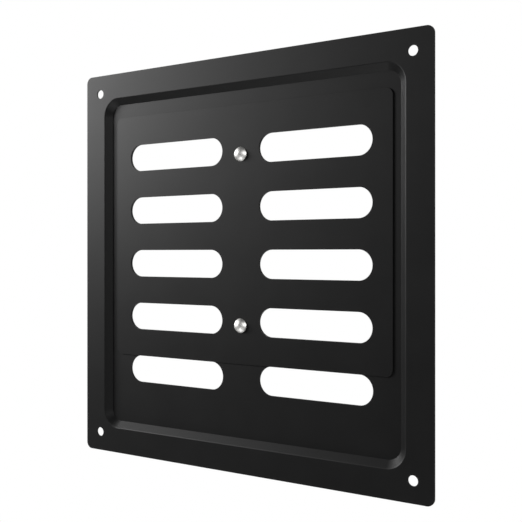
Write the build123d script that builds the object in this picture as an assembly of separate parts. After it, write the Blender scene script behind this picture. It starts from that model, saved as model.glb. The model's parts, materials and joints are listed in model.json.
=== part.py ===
from build123d import *
from math import radians, tan
import os

# Ventilation grille: a pressed, slotted sheet with a sliding shutter in its recess.
# Frame: origin at the middle of the flange's back face, on the wall. +X right, +Y into the wall, +Z up.

# Base plate, one pressed sheet of constant thickness
SHEET = 0.8
PLATE_SIDE = 200.0
PLATE_CORNER_RADIUS = 3.5
SCREW_SPACING = 180.6
SCREW_HOLE_DIAMETER = 4.6

# Recess, measured on the front surface where the flat faces would meet
RECESS_SIDE = 174.0
RECESS_CORNER_RADIUS = 9.4
RECESS_DEPTH = 2.85
WALL_SLOPE = 40.5  # degrees from the plane of the plate
BEND_RADIUS = 0.4  # on the inside of each bend

# Air slots with full-round ends
SLOT_LENGTH = 59.6
SLOT_HEIGHT = 13.7
SLOT_ROWS = 5
SLOT_COLUMNS = 2
ROW_PITCH = 27.45
COLUMN_PITCH = 81.1

# Slide plate, which has one row of slots less than the base plate
SLIDE_SHEET = 0.5
SLIDE_WIDTH = 160.0
SLIDE_TOP_STRIP = 14.8
SLIDE_CORNER_RADIUS = 3.4

# Domed rivets on the centre line, set a little below the first and the last slot row of the slide plate
RIVET_DROP = 2.1
RIVET_HEAD_DIAMETER = 7.0
RIVET_HEAD_HEIGHT = 2.4
RIVET_SHANK_DIAMETER = 3.2
RIVET_BORE_DIAMETER = 1.8
RIVET_BORE_DEPTH = 1.6
RIVET_POINT_ANGLE = 118.0  # degrees, of the bore's conical end
RIVET_TAIL_DIAMETER = 5.4
RIVET_TAIL_HEIGHT = 0.9
RIVET_TAIL_LIP = 0.3

# Washers behind the base plate
WASHER_DIAMETER = 9.0
WASHER_THICKNESS = 0.6

# Fits: radial for the round pieces, face to face for the sliding ones
RIVET_HOLE_CLEARANCE = 0.05
GUIDE_CLEARANCE = 0.15
SLIDE_CLEARANCE = 0.05

# Depths along Y
FLOOR_BACK = RECESS_DEPTH
FLOOR_FRONT = FLOOR_BACK - SHEET
SLIDE_BACK = FLOOR_FRONT - SLIDE_CLEARANCE
SLIDE_FRONT = SLIDE_BACK - SLIDE_SHEET
WASHER_FRONT = FLOOR_BACK + SLIDE_CLEARANCE
WASHER_BACK = WASHER_FRONT + WASHER_THICKNESS

# Half a row shuts the slots
TRAVEL = ROW_PITCH / 2
SLIDE_ROWS = SLOT_ROWS - 1
RIVET_HOLE_DIAMETER = RIVET_SHANK_DIAMETER + 2 * RIVET_HOLE_CLEARANCE
GUIDE_WIDTH = RIVET_SHANK_DIAMETER + 2 * GUIDE_CLEARANCE


def row_height(row):
    """Height of the centre of a slot row, counted from 0 at the top."""
    return ROW_PITCH * ((SLOT_ROWS - 1) / 2 - row)


RIVET_HEIGHTS = {
    "upper": row_height(0) - RIVET_DROP,
    "lower": row_height(SLIDE_ROWS - 1) - RIVET_DROP,
}


def flat_sheet(outline, front, back):
    """Flat sheet of an outline drawn in X and Z, between two depths along Y."""
    return extrude(Plane.XZ.offset(-back) * outline, back - front)


def air_slots(rows):
    """Outlines of the air slots in the upper rows of the grille."""
    middle = (row_height(0) + row_height(rows - 1)) / 2
    slot = SlotOverall(SLOT_LENGTH, SLOT_HEIGHT)
    grid = GridLocations(COLUMN_PITCH, ROW_PITCH, SLOT_COLUMNS, rows)
    return [Pos(0, middle) * place * slot for place in grid]


def guide_slots():
    """Outlines of the upright slots in which the rivet shanks run, with the shanks at their upper ends."""
    slot = SlotOverall(TRAVEL + GUIDE_WIDTH, GUIDE_WIDTH, rotation=90)
    return [Pos(0, height - TRAVEL / 2) * slot for height in RIVET_HEIGHTS.values()]


def base_plate():
    """Flange, sloped recess wall and slotted floor, bent from one sheet."""
    half_slope = radians(WALL_SLOPE) / 2
    brow = RECESS_SIDE / 2
    run = RECESS_DEPTH / tan(2 * half_slope)
    toe = brow - run
    mitre = SHEET * tan(half_slope)
    outer_radius = BEND_RADIUS + SHEET
    lap = 2 * outer_radius * tan(half_slope)

    front_points = [(brow + lap, -SHEET), (brow, -SHEET), (toe, FLOOR_FRONT), (toe - lap, FLOOR_FRONT)]
    back_points = [(toe - lap, FLOOR_BACK), (toe + mitre, FLOOR_BACK), (brow + mitre, 0), (brow + lap, 0)]
    front = FilletPolyline(*front_points, radius=[outer_radius, BEND_RADIUS])
    back = FilletPolyline(*back_points, radius=[outer_radius, BEND_RADIUS])
    floor_end = Line(front_points[-1], back_points[0])
    flange_end = Line(back_points[-1], front_points[0])
    section = make_face([*front.edges(), floor_end, *back.edges(), flange_end])

    half_straight = brow - RECESS_CORNER_RADIUS
    side = extrude(section, half_straight, both=True)
    corner_axis = Axis((half_straight, 0, half_straight), (0, -1, 0))
    corner = revolve(Pos(0, 0, half_straight) * section, corner_axis, 90)
    wall = [Rot(0, 90 * turn, 0) * piece for turn in range(4) for piece in (side, corner)]

    opening = 2 * (brow + lap)
    flange = RectangleRounded(PLATE_SIDE, PLATE_SIDE, PLATE_CORNER_RADIUS)
    flange -= RectangleRounded(opening, opening, RECESS_CORNER_RADIUS + lap)
    screw_hole = Circle(SCREW_HOLE_DIAMETER / 2)
    flange -= [place * screw_hole for place in GridLocations(SCREW_SPACING, SCREW_SPACING, 2, 2)]

    floor_side = 2 * (toe - lap)
    floor = RectangleRounded(floor_side, floor_side, RECESS_CORNER_RADIUS - run - lap)
    floor -= air_slots(SLOT_ROWS)
    floor -= guide_slots()

    return flat_sheet(flange, -SHEET, 0) + flat_sheet(floor, FLOOR_FRONT, FLOOR_BACK) + wall


def slide_plate():
    """Flat shutter. Its bottom strip is one land high, so it just clears the last row and then covers it."""
    land = ROW_PITCH - SLOT_HEIGHT
    top = row_height(0) + SLOT_HEIGHT / 2 + SLIDE_TOP_STRIP
    bottom = row_height(SLIDE_ROWS - 1) - SLOT_HEIGHT / 2 - land
    outline = Pos(0, (top + bottom) / 2) * RectangleRounded(SLIDE_WIDTH, top - bottom, SLIDE_CORNER_RADIUS)
    outline -= air_slots(SLIDE_ROWS)
    rivet_hole = Circle(RIVET_HOLE_DIAMETER / 2)
    outline -= [Pos(0, height) * rivet_hole for height in RIVET_HEIGHTS.values()]
    return flat_sheet(outline, SLIDE_FRONT, SLIDE_BACK)


def rivet():
    """Domed rivet about the Y axis, with a bored tail spread over the washer."""
    head_radius = RIVET_HEAD_DIAMETER / 2
    shank_radius = RIVET_SHANK_DIAMETER / 2
    bore_radius = RIVET_BORE_DIAMETER / 2
    tail_radius = RIVET_TAIL_DIAMETER / 2
    bore_end = WASHER_BACK - RIVET_BORE_DEPTH
    point = bore_end - bore_radius / tan(radians(RIVET_POINT_ANGLE) / 2)
    crown = (0, SLIDE_FRONT - RIVET_HEAD_HEIGHT)

    dome = TangentArc(crown, (head_radius, SLIDE_FRONT), tangent=(1, 0))
    shank_and_tail = Polyline(
        dome @ 1,
        (shank_radius, SLIDE_FRONT),
        (shank_radius, WASHER_BACK),
        (tail_radius, WASHER_BACK),
        (tail_radius, WASHER_BACK + RIVET_TAIL_LIP),
        ((tail_radius + bore_radius) / 2, WASHER_BACK + RIVET_TAIL_HEIGHT),
        (bore_radius, WASHER_BACK),
        (bore_radius, bore_end),
        (0, point),
        crown,
    )
    return revolve(make_face([dome, *shank_and_tail.edges()]), Axis.Y)


def washer():
    """Plain washer about the Y axis, just behind the base plate."""
    ring = Circle(WASHER_DIAMETER / 2) - Circle(RIVET_HOLE_DIAMETER / 2)
    return flat_sheet(ring, WASHER_FRONT, WASHER_BACK)


nodes = {
    "base_plate": base_plate(),
    "slide_plate": slide_plate(),
}
for name, height in RIVET_HEIGHTS.items():
    nodes[f"{name}_rivet"] = Pos(0, 0, height) * rivet()
    nodes[f"{name}_washer"] = Pos(0, 0, height) * washer()

os.makedirs("parts", exist_ok=True)
for name, shape in nodes.items():
    export_step(shape, f"parts/{name}.step")
    print(name, round(shape.volume, 1), shape.is_valid)
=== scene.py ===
"""Ventilation grille with a sliding shutter: pressed sheets, bright rivets, a plain studio."""

import json
import logging
import math
from dataclasses import dataclass
from enum import Enum
from typing import Any

import bmesh
import bpy
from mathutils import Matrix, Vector


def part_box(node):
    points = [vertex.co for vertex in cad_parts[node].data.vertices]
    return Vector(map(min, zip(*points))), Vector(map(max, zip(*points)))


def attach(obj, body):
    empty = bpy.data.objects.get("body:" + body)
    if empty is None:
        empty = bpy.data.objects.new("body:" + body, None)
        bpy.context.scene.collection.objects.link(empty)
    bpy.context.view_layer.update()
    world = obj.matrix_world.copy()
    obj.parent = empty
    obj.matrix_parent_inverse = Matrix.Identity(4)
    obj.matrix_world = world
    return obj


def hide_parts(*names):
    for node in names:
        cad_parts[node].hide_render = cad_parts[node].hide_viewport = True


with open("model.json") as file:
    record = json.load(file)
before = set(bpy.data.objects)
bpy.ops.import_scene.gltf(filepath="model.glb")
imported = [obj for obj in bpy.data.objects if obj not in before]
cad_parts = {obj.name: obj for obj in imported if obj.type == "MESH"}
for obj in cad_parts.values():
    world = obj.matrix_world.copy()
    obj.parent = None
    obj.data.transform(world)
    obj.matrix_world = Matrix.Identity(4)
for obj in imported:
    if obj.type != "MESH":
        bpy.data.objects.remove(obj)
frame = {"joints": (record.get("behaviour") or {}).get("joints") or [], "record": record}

LOG = logging.getLogger("grille")
MM = 0.001
WELD = 0.001 * MM
SHARP_ANGLE = math.radians(40)
QUARTER_TURN = math.radians(90)
HALF_TURN = math.radians(180)

# Sockets that share their name with others of the same node, by number
COMPARE_FIRST_COUNT = 2
COMPARE_SECOND_COUNT = 3
MIX_FIRST_COLOUR = 6
MIX_SECOND_COLOUR = 7
MIX_RESULT_COLOUR = 2

Socket = bpy.types.NodeSocket
Node = bpy.types.Node
Thing = bpy.types.Object
Material = bpy.types.Material
Colour = tuple[float, float, float]


class Body(Enum):
    """The moving bodies of the grille."""

    FRAME = "frame"
    SHUTTER = "shutter"


class Slot(Enum):
    """The finishes that the record names."""

    BLACK_PAINT = "black_paint"
    BRIGHT_PLATE = "bright_plate"
    ZINC_PLATE = "zinc_plate"


class Maths(Enum):
    """The steps of arithmetic in the node trees."""

    ADD = "ADD"
    SUBTRACT = "SUBTRACT"
    MULTIPLY = "MULTIPLY"
    MAXIMUM = "MAXIMUM"
    LESS_THAN = "LESS_THAN"


class Axis(Enum):
    """The axes along which the paper fades."""

    ACROSS = "X"
    UP = "Z"


class Rim(Enum):
    """The free edges of the recess wall, by how they lie to half its depth."""

    AT_FLANGE = "GREATER_THAN"
    AT_FLOOR = "LESS_THAN"


class NodeTree:
    """A node tree that is wired as its nodes are added."""

    def __init__(self, tree: bpy.types.NodeTree) -> None:
        """Wraps a tree.

        Args:
            tree: The tree to add nodes to.
        """
        self.tree = tree

    def add(self, kind: str, inputs: dict[str | int, Any] | None = None, **settings: Any) -> Node:
        """Adds a node.

        Args:
            kind: The node's type.
            inputs: For each input, by name or number, a value, an output to link, or a list of outputs.
            settings: Properties of the node, set before its inputs.

        Returns:
            The new node.
        """
        node = self.tree.nodes.new(kind)
        for name, value in settings.items():
            setattr(node, name, value)
        for key, value in (inputs or {}).items():
            for source in value if isinstance(value, list) else [value]:
                if isinstance(source, Socket):
                    self.tree.links.new(source, node.inputs[key])
                else:
                    node.inputs[key].default_value = source
        return node

    def maths(self, step: Maths, first: Socket | float, second: Socket | float) -> Socket:
        """Works out one step of arithmetic.

        Args:
            step: What is done with the two numbers.
            first: The first number.
            second: The second number.

        Returns:
            The result's output.
        """
        return self.add("ShaderNodeMath", {0: first, 1: second}, operation=step.value).outputs[0]

    def half(self, number: Socket) -> Socket:
        """Halves a number."""
        return self.maths(Maths.MULTIPLY, number, 0.5)


class ShapeTree(NodeTree):
    """A geometry tree with named sizes. It is drawn flat in X and Y, and stood up against the wall last."""

    def __init__(self, name: str) -> None:
        """Starts an empty tree.

        Args:
            name: The tree's name.
        """
        super().__init__(bpy.data.node_groups.new(name, "GeometryNodeTree"))
        self.tree.interface.new_socket("Geometry", in_out="OUTPUT", socket_type="NodeSocketGeometry")
        self.entry = self.tree.nodes.new("NodeGroupInput")
        self.values: dict[str, Any] = {}

    def named(self, name: str, value: float | int | Material) -> Socket:
        """Adds a named input.

        Args:
            name: The input's name.
            value: A length or an angle, a count, or a material.

        Returns:
            The socket that gives the value inside the tree.
        """
        kinds = {float: "NodeSocketFloat", int: "NodeSocketInt", Material: "NodeSocketMaterial"}
        item = self.tree.interface.new_socket(name, in_out="INPUT", socket_type=kinds[type(value)])
        self.values[item.identifier] = value
        return self.entry.outputs[name]

    def point(self, x: Socket | float, y: Socket | float, z: Socket | float = 0.0) -> Socket:
        """Joins three numbers to a point.

        Args:
            x: The first number.
            y: The second number.
            z: The third number.

        Returns:
            The point's output.
        """
        return self.add("ShaderNodeCombineXYZ", {"X": x, "Y": y, "Z": z}).outputs[0]

    def join(self, parts: list[Socket]) -> Socket:
        """Joins pieces of geometry.

        Args:
            parts: The pieces.

        Returns:
            The joined geometry.
        """
        return self.add("GeometryNodeJoinGeometry", {"Geometry": parts}).outputs[0]

    def moved(self, part: Socket, place: Socket) -> Socket:
        """Moves a piece of geometry.

        Args:
            part: The piece.
            place: How far it moves.

        Returns:
            The moved piece.
        """
        return self.add("GeometryNodeTransform", {"Geometry": part, "Translation": place}).outputs[0]

    def rounded_rectangle(self, width: Socket, height: Socket, radius: Socket, points: int) -> Socket:
        """Draws a rectangle with round corners.

        Args:
            width: Its size along X.
            height: Its size along Y.
            radius: The corners' radius, up to half the height for round ends.
            points: How many steps each corner takes.

        Returns:
            The closed curve.
        """
        plain = self.add("GeometryNodeCurvePrimitiveQuadrilateral", {"Width": width, "Height": height})
        inputs = {"Curve": plain.outputs[0], "Radius": radius, "Count": points, "Limit Radius": True}
        rounded = self.add("GeometryNodeFilletCurve", inputs, mode="POLY")
        wire = self.add("GeometryNodeCurveToMesh", {"Curve": rounded.outputs[0]})
        welded = self.add("GeometryNodeMergeByDistance", {"Geometry": wire.outputs[0], "Distance": WELD})
        return self.add("GeometryNodeMeshToCurve", {"Mesh": welded.outputs[0]}).outputs[0]

    def circle(self, radius: Socket, points: int) -> Socket:
        """Draws a circle.

        Args:
            radius: Its radius.
            points: How many points it has.

        Returns:
            The closed curve.
        """
        inputs = {"Radius": radius, "Resolution": points}
        return self.add("GeometryNodeCurvePrimitiveCircle", inputs).outputs[0]

    def arc(
        self, radius: Socket, start: float, sweep: Socket | float, centre: Socket, points: int
    ) -> Socket:
        """Draws an arc.

        Args:
            radius: Its radius.
            start: The angle where it starts.
            sweep: The angle that it covers.
            centre: Its centre.
            points: How many points it has.

        Returns:
            The open curve.
        """
        inputs = {"Radius": radius, "Start Angle": start, "Sweep Angle": sweep, "Resolution": points}
        curve = self.add("GeometryNodeCurveArc", inputs, mode="RADIUS")
        return self.moved(curve.outputs[0], centre)

    def path(self, corners: list[Socket]) -> Socket:
        """Draws an open path.

        Args:
            corners: Its four points, of which the last two may be the same.

        Returns:
            The open curve.
        """
        inputs = {f"Point {number}": corner for number, corner in enumerate(corners, 1)}
        loop = self.add("GeometryNodeCurvePrimitiveQuadrilateral", inputs, mode="POINTS")
        line = self.add("GeometryNodeSetSplineCyclic", {"Geometry": loop.outputs[0], "Cyclic": False})
        return line.outputs[0]

    def repeated(
        self, part: Socket, pitches: tuple[Socket, Socket], counts: tuple[Socket, Socket]
    ) -> Socket:
        """Repeats a piece on a grid about the origin.

        Args:
            part: The piece.
            pitches: The distances along X and Y.
            counts: How many there are along X and Y.

        Returns:
            The pieces, as real geometry.
        """
        gaps = [self.maths(Maths.SUBTRACT, count, 1.0) for count in counts]
        spans = [self.maths(Maths.MULTIPLY, pitch, gap) for pitch, gap in zip(pitches, gaps)]
        inputs = {"Size X": spans[0], "Size Y": spans[1], "Vertices X": counts[0], "Vertices Y": counts[1]}
        grid = self.add("GeometryNodeMeshGrid", inputs)
        placed = self.add("GeometryNodeInstanceOnPoints", {"Points": grid.outputs[0], "Instance": part})
        return self.add("GeometryNodeRealizeInstances", {"Geometry": placed.outputs[0]}).outputs[0]

    def sheet(self, outlines: list[Socket]) -> Socket:
        """Fills an outline and leaves the outlines inside it open.

        Args:
            outlines: The closed curves.

        Returns:
            The flat face, which looks along +Z.
        """
        return self.add("GeometryNodeFillCurve", {"Curve": self.join(outlines)}, mode="NGONS").outputs[0]

    def swept(self, path: Socket, section: Socket) -> Socket:
        """Sweeps a section round a path.

        Args:
            path: The closed curve to follow.
            section: The section, with X outwards and Y into the wall.

        Returns:
            The swept faces.
        """
        return self.add("GeometryNodeCurveToMesh", {"Curve": path, "Profile Curve": section}).outputs[0]

    def piece(self, name: str, shape: Socket, place: Socket, finish: Material) -> Thing:
        """Welds the shape, stands it up against the wall and gives it its finish.

        Args:
            name: The object's name.
            shape: The finished geometry, drawn flat.
            place: Where the drawing's origin goes.
            finish: The material.

        Returns:
            The object that carries the tree, with its sizes set.
        """
        material = self.named("Finish", finish)
        welded = self.add("GeometryNodeMergeByDistance", {"Geometry": shape, "Distance": WELD})
        upright = self.add("GeometryNodeTransform", {"Geometry": welded.outputs[0], "Translation": place})
        upright.inputs["Rotation"].default_value = (QUARTER_TURN, 0.0, 0.0)
        smooth = self.add("GeometryNodeSetShadeSmooth", {"Geometry": upright.outputs[0]})
        real = self.add("GeometryNodeRealizeInstances", {"Geometry": smooth.outputs[0]})
        painted = self.add("GeometryNodeSetMaterial", {"Geometry": real.outputs[0], "Material": material})
        self.add("NodeGroupOutput", {"Geometry": painted.outputs[0]})

        thing = bpy.data.objects.new(name, bpy.data.meshes.new(name))
        bpy.context.scene.collection.objects.link(thing)
        modifier = thing.modifiers.new("shape", "NODES")
        modifier.node_group = self.tree
        for identifier, value in self.values.items():
            modifier[identifier] = value
        return thing


def bake(thing: Thing) -> Thing:
    """Turns an object with modifiers into a plain mesh.

    Args:
        thing: The object.

    Returns:
        The same object, with a mesh of its own and no modifiers.
    """
    depsgraph = bpy.context.evaluated_depsgraph_get()
    mesh = bpy.data.meshes.new_from_object(thing.evaluated_get(depsgraph), depsgraph=depsgraph)
    thing.modifiers.clear()
    thing.data = mesh
    mesh.name = thing.name
    return thing


def turn_faces_outwards(thing: Thing) -> None:
    """Turns the faces of a closed mesh outwards.

    Args:
        thing: The object with the mesh.
    """
    form = bmesh.new()
    form.from_mesh(thing.data)
    bmesh.ops.recalc_face_normals(form, faces=form.faces)
    form.to_mesh(thing.data)
    form.free()


def dress(thing: Thing, body: Body, slot: Slot, *nodes: str) -> Thing:
    """Puts a finished piece on its body, in place of its solids.

    Args:
        thing: The piece.
        body: The body that it moves with.
        slot: The record's finish; not used.
        nodes: The solids that it stands for.

    Returns:
        The same piece.
    """
    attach(thing, body.value)
    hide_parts(*nodes)
    LOG.info("%s rides on %s, %d faces", thing.name, body.value, len(thing.data.polygons))
    return thing


class Finish(NodeTree):
    """A procedural material on object coordinates."""

    NOISE_ROUGHNESS = 0.5
    NOISE_LOW = 0.3
    NOISE_HIGH = 0.7

    def __init__(self, name: str) -> None:
        """Starts a material with one shader.

        Args:
            name: The material's name.
        """
        self.material = bpy.data.materials.new(name)
        self.material.use_nodes = True
        super().__init__(self.material.node_tree)
        self.shader = self.tree.nodes["Principled BSDF"]
        self.place = self.add("ShaderNodeTexCoord").outputs["Object"]

    def noise(self, per_metre: float, detail: float = 2.0) -> Socket:
        """Adds an even noise.

        Args:
            per_metre: How many waves there are to a metre.
            detail: How many finer layers it has.

        Returns:
            The noise's level, about 0.5 on average.
        """
        inputs = {"Vector": self.place, "Scale": per_metre, "Detail": detail}
        inputs["Roughness"] = self.NOISE_ROUGHNESS
        return self.add("ShaderNodeTexNoise", inputs).outputs[0]

    def spread(self, level: Socket, low: float, high: float) -> Socket:
        """Spreads a noise between two values.

        Args:
            level: The noise.
            low: The value at its low side.
            high: The value at its high side.

        Returns:
            The spread value.
        """
        inputs = {"Value": level, "To Min": low, "To Max": high}
        inputs |= {"From Min": self.NOISE_LOW, "From Max": self.NOISE_HIGH}
        return self.add("ShaderNodeMapRange", inputs).outputs[0]

    def tint(self, level: Socket, dark: Colour, light: Colour) -> None:
        """Varies the base colour.

        Args:
            level: The noise that drives it.
            dark: The colour at its low side.
            light: The colour at its high side.
        """
        mix = self.add("ShaderNodeMix", {0: level}, data_type="RGBA")
        mix.inputs[MIX_FIRST_COLOUR].default_value = (*dark, 1.0)
        mix.inputs[MIX_SECOND_COLOUR].default_value = (*light, 1.0)
        self.tree.links.new(mix.outputs[MIX_RESULT_COLOUR], self.shader.inputs["Base Color"])

    def relief(self, heights: list[tuple[Socket, float]]) -> None:
        """Adds fine relief.

        Args:
            heights: Each noise with its height in metres.
        """
        normal: Socket | None = None
        for level, height in heights:
            bump = self.add("ShaderNodeBump", {"Height": level, "Distance": height, "Strength": 1.0})
            if normal:
                self.tree.links.new(normal, bump.inputs["Normal"])
            normal = bump.outputs[0]
        self.tree.links.new(normal, self.shader.inputs["Normal"])

    def roughness(self, level: Socket) -> None:
        """Feeds the shader's roughness."""
        self.tree.links.new(level, self.shader.inputs["Roughness"])


@dataclass(frozen=True)
class BlackPowderCoat:
    """Satin black powder coat, baked smooth with a faint skin."""

    name: str = "plate_powder_coat"
    dark: Colour = (0.0036, 0.0036, 0.0037)
    light: Colour = (0.0044, 0.0044, 0.0045)
    specular: float = 0.25
    rough_low: float = 0.445
    rough_high: float = 0.470
    skin_per_metre: float = 700.0
    skin_height: float = 0.0012 * MM
    grain_per_metre: float = 5200.0
    grain_height: float = 0.0003 * MM
    grain_detail: float = 1.0
    cloud_per_metre: float = 55.0
    cloud_detail: float = 3.0

    def material(self) -> Material:
        """Builds the material.

        Returns:
            The material.
        """
        finish = Finish(self.name)
        finish.shader.inputs["Specular IOR Level"].default_value = self.specular
        cloud = finish.noise(self.cloud_per_metre, self.cloud_detail)
        finish.tint(cloud, self.dark, self.light)
        finish.roughness(finish.spread(cloud, self.rough_low, self.rough_high))
        skin = finish.noise(self.skin_per_metre)
        grain = finish.noise(self.grain_per_metre, self.grain_detail)
        finish.relief([(skin, self.skin_height), (grain, self.grain_height)])
        return finish.material


@dataclass(frozen=True)
class BrightNickel:
    """Bright nickel plate on the rivets, tumbled to a soft shine."""

    dark: Colour = (0.80, 0.79, 0.77)
    light: Colour = (0.88, 0.87, 0.85)
    rough_low: float = 0.48
    rough_high: float = 0.54
    cloud_per_metre: float = 420.0
    cloud_detail: float = 3.0
    scuff_per_metre: float = 2600.0
    scuff_height: float = 0.0006 * MM

    def material(self) -> Material:
        """Builds the material.

        Returns:
            The material.
        """
        finish = Finish("bright_nickel")
        finish.shader.inputs["Metallic"].default_value = 1.0
        cloud = finish.noise(self.cloud_per_metre, self.cloud_detail)
        finish.tint(cloud, self.dark, self.light)
        finish.roughness(finish.spread(cloud, self.rough_low, self.rough_high))
        finish.relief([(finish.noise(self.scuff_per_metre), self.scuff_height)])
        return finish.material


@dataclass(frozen=True)
class DullZinc:
    """Dull zinc plate on the washers."""

    dark: Colour = (0.42, 0.43, 0.45)
    light: Colour = (0.56, 0.57, 0.58)
    rough_low: float = 0.34
    rough_high: float = 0.46
    cloud_per_metre: float = 600.0
    cloud_detail: float = 3.0
    grain_per_metre: float = 4000.0
    grain_height: float = 0.001 * MM

    def material(self) -> Material:
        """Builds the material.

        Returns:
            The material.
        """
        finish = Finish("dull_zinc")
        finish.shader.inputs["Metallic"].default_value = 1.0
        cloud = finish.noise(self.cloud_per_metre, self.cloud_detail)
        finish.tint(cloud, self.dark, self.light)
        finish.roughness(finish.spread(cloud, self.rough_low, self.rough_high))
        finish.relief([(finish.noise(self.grain_per_metre), self.grain_height)])
        return finish.material


@dataclass(frozen=True)
class SlotGrid:
    """The round-ended air slots, in rows and columns, that both plates share."""

    row_pitch: float
    length: float = 59.6 * MM
    height: float = 13.7 * MM
    column_pitch: float = 81.1 * MM
    columns: int = 2
    rows: int = 5
    corner_points: int = 24

    def outlines(self, shape: ShapeTree, rows: int) -> Socket:
        """Draws the slots of the upper rows.

        Args:
            shape: The tree to draw in.
            rows: How many rows, counted from the top.

        Returns:
            The closed curves.
        """
        height = shape.named("Slot Height", self.height)
        row_pitch = shape.named("Row Pitch", self.row_pitch)
        length = shape.named("Slot Length", self.length)
        slot = shape.rounded_rectangle(length, height, shape.half(height), self.corner_points)
        pitches = (shape.named("Column Pitch", self.column_pitch), row_pitch)
        counts = (shape.named("Columns", self.columns), shape.named("Rows", rows))
        grid = shape.repeated(slot, pitches, counts)
        lift = shape.maths(Maths.MULTIPLY, row_pitch, (self.rows - rows) / 2)
        return shape.moved(grid, shape.point(0.0, lift))


@dataclass(frozen=True)
class SheetEdge:
    """How a punched sheet is finished: its thickness, and the paint's rounding of its edges."""

    thickness: float
    rounding: float = 0.07 * MM
    segments: int = 3

    def thicken(self, thing: Thing) -> Thing:
        """Gives a sheet its thickness behind its front face, rounds its edges and bakes it.

        Args:
            thing: The object with the bare front face.

        Returns:
            The same object, as a closed plain mesh.
        """
        solid = thing.modifiers.new("thickness", "SOLIDIFY")
        solid.thickness = self.thickness
        solid.offset = -1.0
        solid.use_even_offset = True
        edge = thing.modifiers.new("edges", "BEVEL")
        edge.width = self.rounding
        edge.segments = self.segments
        edge.limit_method = "ANGLE"
        edge.angle_limit = SHARP_ANGLE
        edge.use_clamp_overlap = False
        shade = thing.modifiers.new("shade", "WEIGHTED_NORMAL")
        shade.keep_sharp = True
        return bake(thing)


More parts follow.
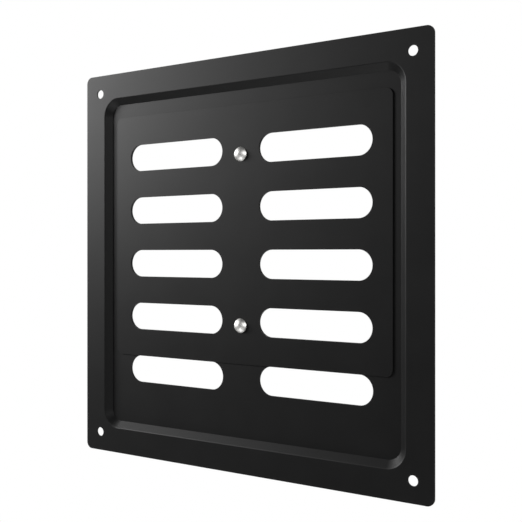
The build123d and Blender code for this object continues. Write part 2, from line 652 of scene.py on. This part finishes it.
@dataclass(frozen=True)
class PressedPlate:
    """The base plate: flange, sloped recess wall and slotted floor, bent from one sheet."""

    slots: SlotGrid
    side: float
    recess_depth: float
    screw_pitch: float
    screw_radius: float
    rivet_heights: tuple[float, float]
    travel: float
    sheet: float = 0.8 * MM
    corner_radius: float = 3.5 * MM
    recess_side: float = 174.0 * MM
    recess_corner: float = 9.4 * MM
    wall_slope: float = math.radians(40.5)
    bend_radius: float = 0.1 * MM
    guide_width: float = 3.5 * MM
    corner_points: int = 16
    recess_points: int = 32
    bend_points: int = 8
    hole_points: int = 48

    def wall(self, shape: ShapeTree) -> Socket:
        """Bends the sheet into the recess.

        Args:
            shape: The tree to draw in.

        Returns:
            The recess wall with its two bends, and a flat lap on both sides.
        """
        outer = self.bend_radius + self.sheet
        flat = 2 * outer * math.tan(self.wall_slope / 2)
        depth = shape.named("Recess Depth", self.recess_depth)
        run = shape.named("Wall Run", self.recess_depth / math.tan(self.wall_slope))
        lap = shape.named("Bend Lap", flat)
        toe = shape.maths(Maths.MULTIPLY, run, -1.0)
        corners = [
            shape.point(shape.maths(Maths.SUBTRACT, toe, lap), depth),
            shape.point(toe, depth),
            shape.point(0.0, 0.0),
            shape.point(lap, 0.0),
        ]
        toe_number = 1
        number = shape.add("GeometryNodeInputIndex").outputs[0]
        inputs = {COMPARE_FIRST_COUNT: number, COMPARE_SECOND_COUNT: toe_number}
        at_toe = shape.add("FunctionNodeCompare", inputs, data_type="INT", operation="EQUAL")
        radius = shape.add("GeometryNodeSwitch", {0: at_toe.outputs[0]}, input_type="FLOAT")
        shape.tree.links.new(shape.named("Outer Bend", outer), radius.inputs["False"])
        shape.tree.links.new(shape.named("Inner Bend", self.bend_radius), radius.inputs["True"])
        inputs = {"Curve": shape.path(corners), "Radius": radius.outputs[0], "Count": self.bend_points}
        section = shape.add("GeometryNodeFilletCurve", inputs, mode="POLY").outputs[0]
        side = shape.named("Recess Side", self.recess_side)
        corner = shape.named("Recess Corner", self.recess_corner)
        return shape.swept(shape.rounded_rectangle(side, side, corner, self.recess_points), section)

    def rim(self, shape: ShapeTree, wall: Socket, half_depth: Socket, rim: Rim) -> Socket:
        """Follows one free edge of the recess wall.

        Args:
            shape: The tree to draw in.
            wall: The recess wall.
            half_depth: The level halfway down the wall.
            rim: Which of its edges.

        Returns:
            The closed curve.
        """
        level = shape.add("ShaderNodeSeparateXYZ", {0: shape.add("GeometryNodeInputPosition").outputs[0]})
        here = shape.add("FunctionNodeCompare", {0: level.outputs["Z"], 1: half_depth}, operation=rim.value)
        faces = shape.add("GeometryNodeInputMeshEdgeNeighbors").outputs[0]
        inner_edge_faces = 2.0
        free = shape.maths(Maths.LESS_THAN, faces, inner_edge_faces)
        chosen = shape.add("FunctionNodeBooleanMath", {0: free, 1: here.outputs[0]}, operation="AND")
        line = shape.add("GeometryNodeMeshToCurve", {"Mesh": wall, "Selection": chosen.outputs[0]})
        return line.outputs[0]

    def flange(self, shape: ShapeTree, edge: Socket) -> Socket:
        """Cuts the flange, with its screw holes.

        Args:
            shape: The tree to draw in.
            edge: The recess wall's outer edge.

        Returns:
            The flat face.
        """
        side = shape.named("Plate Side", self.side)
        corner = shape.named("Plate Corner", self.corner_radius)
        outline = shape.rounded_rectangle(side, side, corner, self.corner_points)
        hole = shape.circle(shape.named("Screw Radius", self.screw_radius), self.hole_points)
        pitch = shape.named("Screw Pitch", self.screw_pitch)
        two = shape.named("Screws Each Way", 2)
        return shape.sheet([outline, shape.repeated(hole, (pitch, pitch), (two, two)), edge])

    def floor(self, shape: ShapeTree, edge: Socket) -> Socket:
        """Cuts the recess floor, with its air slots and the two guide slots of the rivets.

        Args:
            shape: The tree to draw in.
            edge: The recess wall's inner edge.

        Returns:
            The flat face.
        """
        width = shape.named("Guide Width", self.guide_width)
        length = shape.named("Guide Length", self.guide_width + self.travel)
        lying = shape.rounded_rectangle(length, width, shape.half(width), self.corner_points)
        upright = shape.add("GeometryNodeTransform", {"Geometry": lying})
        upright.inputs["Rotation"].default_value = (0.0, 0.0, QUARTER_TURN)
        upper, lower = self.rivet_heights
        pitch = shape.named("Guide Pitch", upper - lower)
        one, two = shape.named("Guide Columns", 1), shape.named("Guide Rows", 2)
        guides = shape.repeated(upright.outputs[0], (pitch, pitch), (one, two))
        middle = shape.named("Guide Middle", (upper + lower - self.travel) / 2)
        guides = shape.moved(guides, shape.point(0.0, middle))
        flat = shape.sheet([edge, self.slots.outlines(shape, self.slots.rows), guides])
        return shape.moved(flat, shape.point(0.0, 0.0, shape.named("Floor Level", -self.recess_depth)))

    def build(self, finish: Material) -> Thing:
        """Makes and dresses the plate.

        Args:
            finish: Its paint.

        Returns:
            The finished piece.
        """
        shape = ShapeTree("pressed_plate")
        wall = self.wall(shape)
        half_depth = shape.named("Half Depth", -self.recess_depth / 2)
        flange = self.flange(shape, self.rim(shape, wall, half_depth, Rim.AT_FLANGE))
        floor = self.floor(shape, self.rim(shape, wall, half_depth, Rim.AT_FLOOR))
        front = shape.point(0.0, shape.named("Flange Front", -self.sheet))
        thing = shape.piece("pressed_plate", shape.join([wall, flange, floor]), front, finish)
        return dress(SheetEdge(self.sheet).thicken(thing), Body.FRAME, Slot.BLACK_PAINT, "base_plate")


@dataclass(frozen=True)
class ShutterPlate:
    """The slide plate: a flat slotted sheet in front of the recess floor."""

    slots: SlotGrid
    width: float
    top: float
    bottom: float
    front: float
    sheet: float
    rivet_heights: tuple[float, float]
    corner_radius: float = 3.4 * MM
    hole_radius: float = 1.65 * MM
    rounding: float = 0.06 * MM
    corner_points: int = 16
    hole_points: int = 32

    def build(self, finish: Material) -> Thing:
        """Makes and dresses the plate.

        Args:
            finish: Its paint.

        Returns:
            The finished piece.
        """
        shape = ShapeTree("shutter_plate")
        width = shape.named("Plate Width", self.width)
        height = shape.named("Plate Height", self.top - self.bottom)
        corner = shape.named("Plate Corner", self.corner_radius)
        outline = shape.rounded_rectangle(width, height, corner, self.corner_points)
        middle = shape.named("Plate Middle", (self.top + self.bottom) / 2)
        outline = shape.moved(outline, shape.point(0.0, middle))
        upper, lower = self.rivet_heights
        pitch = shape.named("Rivet Pitch", upper - lower)
        hole = shape.circle(shape.named("Rivet Hole Radius", self.hole_radius), self.hole_points)
        one, two = shape.named("Hole Columns", 1), shape.named("Hole Rows", 2)
        holes = shape.repeated(hole, (pitch, pitch), (one, two))
        holes = shape.moved(holes, shape.point(0.0, shape.named("Rivet Middle", (upper + lower) / 2)))
        face = shape.sheet([outline, self.slots.outlines(shape, self.slots.rows - 1), holes])
        front = shape.point(0.0, shape.named("Plate Front", self.front))
        thing = shape.piece("shutter_plate", face, front, finish)
        edge = SheetEdge(self.sheet, self.rounding)
        return dress(edge.thicken(thing), Body.SHUTTER, Slot.BLACK_PAINT, "slide_plate")


@dataclass(frozen=True)
class TurnedPiece:
    """A round piece turned about an axis along Y, on the grille's centre line.

    Its section is carried round the spindle, a circle that is larger than the piece.
    """

    name: str
    node: str
    height: float
    spindle: float = 20.0 * MM
    turns: int = 96

    def turned(self, shape: ShapeTree, sections: list[Socket]) -> Socket:
        """Turns open sections about the axis.

        Args:
            shape: The tree to draw in.
            sections: The curves, with the radius along X and the depth into the wall along Y.

        Returns:
            The turned faces.
        """
        spindle = shape.named("Spindle", self.spindle)
        inwards = shape.point(shape.maths(Maths.MULTIPLY, spindle, -1.0), 0.0)
        return shape.swept(shape.circle(spindle, self.turns), shape.moved(shape.join(sections), inwards))

    def finished(self, shape: ShapeTree, faces: Socket, finish: Material, slot: Slot) -> Thing:
        """Puts the turned faces in place and dresses the piece.

        Args:
            shape: The tree that holds the faces.
            faces: The turned faces.
            finish: The metal.
            slot: The record's finish.

        Returns:
            The finished piece.
        """
        place = shape.point(0.0, 0.0, shape.named("Height", self.height))
        thing = bake(shape.piece(self.name, faces, place, finish))
        turn_faces_outwards(thing)
        thing.data.set_sharp_from_angle(angle=SHARP_ANGLE)
        return dress(thing, Body.SHUTTER, slot, self.node)


@dataclass(frozen=True, kw_only=True)
class DomedRivet(TurnedPiece):
    """A domed rivet, with its head on the shutter and its bored tail rolled over the washer."""

    head_radius: float
    crown: float
    seat: float
    tail_face: float
    shank_radius: float = 1.6 * MM
    tail_radius: float = 2.7 * MM
    bore_radius: float = 0.9 * MM
    bore_depth: float = 1.6 * MM
    bore_point: float = 0.54 * MM
    dome_points: int = 28
    roll_points: int = 20

    def build(self, finish: Material) -> Thing:
        """Makes and dresses the rivet.

        Args:
            finish: Its metal.

        Returns:
            The finished piece.
        """
        shape = ShapeTree(self.name)
        rise = self.seat - self.crown
        ball = (self.head_radius**2 + rise**2) / (2 * rise)
        sweep = math.acos((ball - rise) / ball)
        seat = shape.named("Seat", self.seat)
        tail_face = shape.named("Tail Face", self.tail_face)
        shank = shape.named("Shank Radius", self.shank_radius)
        tail = shape.named("Tail Radius", self.tail_radius)
        bore = shape.named("Bore Radius", self.bore_radius)
        bore_end = shape.named("Bore End", self.tail_face - self.bore_depth)
        tip = shape.point(0.0, shape.named("Bore Tip", self.tail_face - self.bore_depth - self.bore_point))
        centre = shape.point(0.0, shape.named("Dome Centre", self.crown + ball))
        dome_radius = shape.named("Dome Radius", ball)
        dome_sweep = shape.named("Dome Sweep", sweep)
        dome = shape.arc(dome_radius, -QUARTER_TURN, dome_sweep, centre, self.dome_points)
        head = shape.named("Head Radius", self.head_radius)
        under = [shape.point(head, seat), shape.point(shank, seat), shape.point(shank, tail_face)]
        stem = shape.path([*under, shape.point(tail, tail_face)])
        roll_radius = shape.half(shape.maths(Maths.SUBTRACT, tail, bore))
        roll_middle = shape.point(shape.half(shape.maths(Maths.ADD, tail, bore)), tail_face)
        roll = shape.arc(roll_radius, 0.0, HALF_TURN, roll_middle, self.roll_points)
        drilled = shape.path([shape.point(bore, tail_face), shape.point(bore, bore_end), tip, tip])
        faces = self.turned(shape, [dome, stem, roll, drilled])
        return self.finished(shape, faces, finish, Slot.BRIGHT_PLATE)


@dataclass(frozen=True, kw_only=True)
class PlainWasher(TurnedPiece):
    """A plain washer between the base plate and a rivet's tail, with slightly rounded edges."""

    outer_radius: float
    front: float
    back: float
    hole_radius: float = 1.65 * MM
    rounding: float = 0.12 * MM
    edge_points: int = 4

    def build(self, finish: Material) -> Thing:
        """Makes and dresses the washer.

        Args:
            finish: Its metal.

        Returns:
            The finished piece.
        """
        shape = ShapeTree(self.name)
        width = shape.named("Ring Width", self.outer_radius - self.hole_radius)
        thickness = shape.named("Thickness", self.back - self.front)
        rounding = shape.named("Rounding", self.rounding)
        ring = shape.rounded_rectangle(width, thickness, rounding, self.edge_points)
        radius = shape.named("Ring Radius", (self.outer_radius + self.hole_radius) / 2)
        depth = shape.named("Ring Depth", (self.front + self.back) / 2)
        faces = self.turned(shape, [shape.moved(ring, shape.point(radius, depth))])
        return self.finished(shape, faces, finish, Slot.ZINC_PLATE)


@dataclass(frozen=True)
class SoftLight:
    """A softbox that looks at the grille. Its angles, in degrees, are seen from the middle of the grille."""

    # Power for each square metre of lamp and each unit of radiance
    POWER = 4.0

    name: str
    left: float
    up: float
    half_width: float
    half_height: float
    radiance: float
    distance: float = 2.0

    def build(self) -> None:
        """Makes the light and puts it in its place."""
        left, up = math.radians(self.left), math.radians(self.up)
        way = Vector((-math.sin(left) * math.cos(up), -math.cos(left) * math.cos(up), math.sin(up)))
        lamp = bpy.data.lights.new(self.name, "AREA")
        lamp.shape = "RECTANGLE"
        lamp.size = 2 * self.distance * math.tan(math.radians(self.half_width))
        lamp.size_y = 2 * self.distance * math.tan(math.radians(self.half_height))
        lamp.energy = self.POWER * lamp.size * lamp.size_y * self.radiance
        thing = bpy.data.objects.new(self.name, lamp)
        thing.location = way * self.distance
        thing.rotation_euler = way.to_track_quat("Z", "Y").to_euler()
        thing.visible_camera = False
        bpy.context.scene.collection.objects.link(thing)


@dataclass(frozen=True)
class WhitePaper:
    """The paper of the sweep, pale on the floor and white where it hangs.

    Reflections see the white only behind the grille, and pale paper to its left and right.
    """

    floor_level: float
    cove_top: float
    tone: Colour = (0.8, 0.8, 0.8)
    roughness: float = 0.9
    floor_white: float = 0.6
    white_left: float = -2.25
    white_right: float = -0.2
    fade: float = 0.8

    def faded(
        self, finish: Finish, level: Socket, axis: Axis, low: float, full: float, least: float = 0.0
    ) -> Socket:
        """Fades a level along one axis.

        Args:
            finish: The paper's material.
            level: The level to fade.
            axis: The axis.
            low: Where the least share is left.
            full: Where all of it is left.
            least: The least share.

        Returns:
            The faded level.
        """
        spot = finish.add("ShaderNodeSeparateXYZ", {0: finish.place})
        inputs = {"Value": spot.outputs[axis.value], "From Min": low, "From Max": full, "To Min": least}
        share = finish.add("ShaderNodeMapRange", inputs, interpolation_type="SMOOTHSTEP")
        return finish.maths(Maths.MULTIPLY, level, share.outputs[0])

    def material(self) -> Material:
        """Builds the material.

        Returns:
            The material.
        """
        finish = Finish("white_paper")
        finish.shader.inputs["Base Color"].default_value = (*self.tone, 1.0)
        finish.shader.inputs["Roughness"].default_value = self.roughness
        rays = finish.add("ShaderNodeLightPath").outputs
        low, full = self.floor_level, self.cove_top
        direct = self.faded(finish, rays["Is Camera Ray"], Axis.UP, low, full, self.floor_white)
        mirrored = finish.maths(Maths.MAXIMUM, rays["Is Glossy Ray"], rays["Is Transmission Ray"])
        left, right = self.white_left, self.white_right
        mirrored = self.faded(finish, mirrored, Axis.ACROSS, left - self.fade, left)
        mirrored = self.faded(finish, mirrored, Axis.ACROSS, right + self.fade, right)
        mirrored = self.faded(finish, mirrored, Axis.UP, low, full)
        seen = finish.maths(Maths.MAXIMUM, direct, mirrored)
        white = finish.add("ShaderNodeEmission", {"Strength": 1.0})
        inputs = {0: seen, 1: finish.shader.outputs[0], 2: white.outputs[0]}
        mix = finish.add("ShaderNodeMixShader", inputs)
        finish.tree.links.new(mix.outputs[0], finish.tree.nodes["Material Output"].inputs["Surface"])
        return finish.material


@dataclass(frozen=True)
class Studio:
    """A plain studio: pale floor running up into a white backdrop behind the grille, and soft lights."""

    lights: tuple[SoftLight, ...] = (
        SoftLight("left_softbox", left=64.9, up=16.2, half_width=10.4, half_height=8.5, radiance=21.2),
        SoftLight("left_wash", left=61.0, up=32.0, half_width=7.5, half_height=11.0, radiance=5.0),
        SoftLight("right_softbox", left=-80.0, up=10.0, half_width=9.0, half_height=9.0, radiance=9.0),
        SoftLight("front_fill", left=-53.0, up=20.0, half_width=21.0, half_height=10.0, radiance=2.2),
        SoftLight(
            "low_softbox", left=0.0, up=-66.0, half_width=10.0, half_height=8.0, radiance=6.0, distance=1.3
        ),
        SoftLight(
            "low_fill", left=-14.0, up=-43.0, half_width=10.0, half_height=8.0, radiance=1.5, distance=1.3
        ),
    )
    room_level: float = 0.07
    floor_level: float = -1.5
    backdrop: float = 1.6
    front_edge: float = -2.5
    cove_radius: float = 0.5
    cove_steps: int = 16
    top: float = 3.0
    half_width: float = 5.0

    def sweep(self) -> None:
        """Makes the paper sweep, flat floor, round cove and upright backdrop in one."""
        centre = (self.backdrop - self.cove_radius, self.floor_level + self.cove_radius)
        line = [(self.front_edge, self.floor_level)]
        for step in range(self.cove_steps + 1):
            angle = QUARTER_TURN * step / self.cove_steps
            back = centre[0] + self.cove_radius * math.sin(angle)
            line.append((back, centre[1] - self.cove_radius * math.cos(angle)))
        line.append((self.backdrop, self.top))
        points = [(x, y, z) for y, z in line for x in (-self.half_width, self.half_width)]
        faces = [(2 * n, 2 * n + 1, 2 * n + 3, 2 * n + 2) for n in range(len(line) - 1)]
        mesh = bpy.data.meshes.new("paper_sweep")
        mesh.from_pydata(points, [], faces)
        paper = WhitePaper(self.floor_level, self.floor_level + self.cove_radius)
        mesh.materials.append(paper.material())
        mesh.shade_smooth()
        thing = bpy.data.objects.new("paper_sweep", mesh)
        bpy.context.scene.collection.objects.link(thing)

    def build(self) -> None:
        """Sets up the sweep, the lights and the even level of the room."""
        self.sweep()
        for light in self.lights:
            light.build()
        world = bpy.data.worlds.new("room")
        world.use_nodes = True
        level = (self.room_level,) * 3
        world.node_tree.nodes["Background"].inputs["Color"].default_value = (*level, 1.0)
        bpy.context.scene.world = world
        bpy.context.scene.view_settings.view_transform = "Standard"
        LOG.info("studio with %d lights", len(self.lights))


@dataclass(frozen=True)
class Viewpoint:
    """The camera: level, in front of the grille and to its right, with the horizon set by its shift."""

    place: tuple[float, float, float] = (0.240498, -0.337850, 0.005050)
    turn: float = math.radians(33.9556)
    sensor: float = 36.0
    lens: float = 59.778
    image_side: float = 522.0
    horizon_rise: float = 7.44
    nearest: float = 10.0 * MM

    def build(self) -> None:
        """Makes the camera and looks through it."""
        camera = bpy.data.cameras.new("viewpoint")
        camera.sensor_width = self.sensor
        camera.lens = self.lens
        camera.shift_y = -self.horizon_rise / self.image_side
        camera.clip_start = self.nearest
        thing = bpy.data.objects.new("viewpoint", camera)
        thing.location = self.place
        thing.rotation_euler = (QUARTER_TURN, 0.0, self.turn)
        bpy.context.scene.collection.objects.link(thing)
        bpy.context.scene.camera = thing


def main() -> None:
    """Builds the grille's pieces in order, then the studio and the camera."""
    logging.basicConfig(level=logging.INFO, format="%(name)s: %(message)s")
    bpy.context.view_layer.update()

    joint = frame["joints"][0]
    travel = joint["range_m"][1]
    screws = next(m for m in frame["record"]["mounts"] if m["kind"] == "bolt_pattern")["dims"]
    plate_low, plate_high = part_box("base_plate")
    slide_low, slide_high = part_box("slide_plate")
    names = ("upper", "lower")
    heights = tuple(sum(corner.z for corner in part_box(f"{name}_rivet")) / 2 for name in names)

    plate_paint = BlackPowderCoat().material()
    shutter_coat = BlackPowderCoat("shutter_powder_coat", specular=0.28, rough_low=0.42, rough_high=0.44)
    shutter_paint = shutter_coat.material()
    nickel = BrightNickel().material()
    zinc = DullZinc().material()
    slots = SlotGrid(row_pitch=2 * travel)
    plate = PressedPlate(
        slots=slots,
        side=plate_high.x - plate_low.x,
        recess_depth=plate_high.y,
        screw_pitch=screws["spacing_x_mm"] * MM,
        screw_radius=screws["hole_r_mm"] * MM,
        rivet_heights=heights,
        travel=travel,
    )
    shutter = ShutterPlate(
        slots=slots,
        width=slide_high.x - slide_low.x,
        top=slide_high.z,
        bottom=slide_low.z,
        front=slide_low.y,
        sheet=slide_high.y - slide_low.y,
        rivet_heights=heights,
    )
    pieces = [plate.build(plate_paint), shutter.build(shutter_paint)]
    for name, height in zip(names, heights):
        rivet_low, rivet_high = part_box(f"{name}_rivet")
        washer_low, washer_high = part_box(f"{name}_washer")
        rivet = DomedRivet(
            name=f"domed_rivet_{name}",
            node=f"{name}_rivet",
            height=height,
            head_radius=(rivet_high.x - rivet_low.x) / 2,
            crown=rivet_low.y,
            seat=slide_low.y,
            tail_face=washer_high.y,
        )
        washer = PlainWasher(
            name=f"plain_washer_{name}",
            node=f"{name}_washer",
            height=height,
            outer_radius=(washer_high.x - washer_low.x) / 2,
            front=washer_low.y,
            back=washer_high.y,
        )
        pieces += [rivet.build(nickel), washer.build(zinc)]
    LOG.info("%d pieces in all", len(pieces))

    Studio().build()
    Viewpoint().build()


if __name__ == "__main__":
    main()
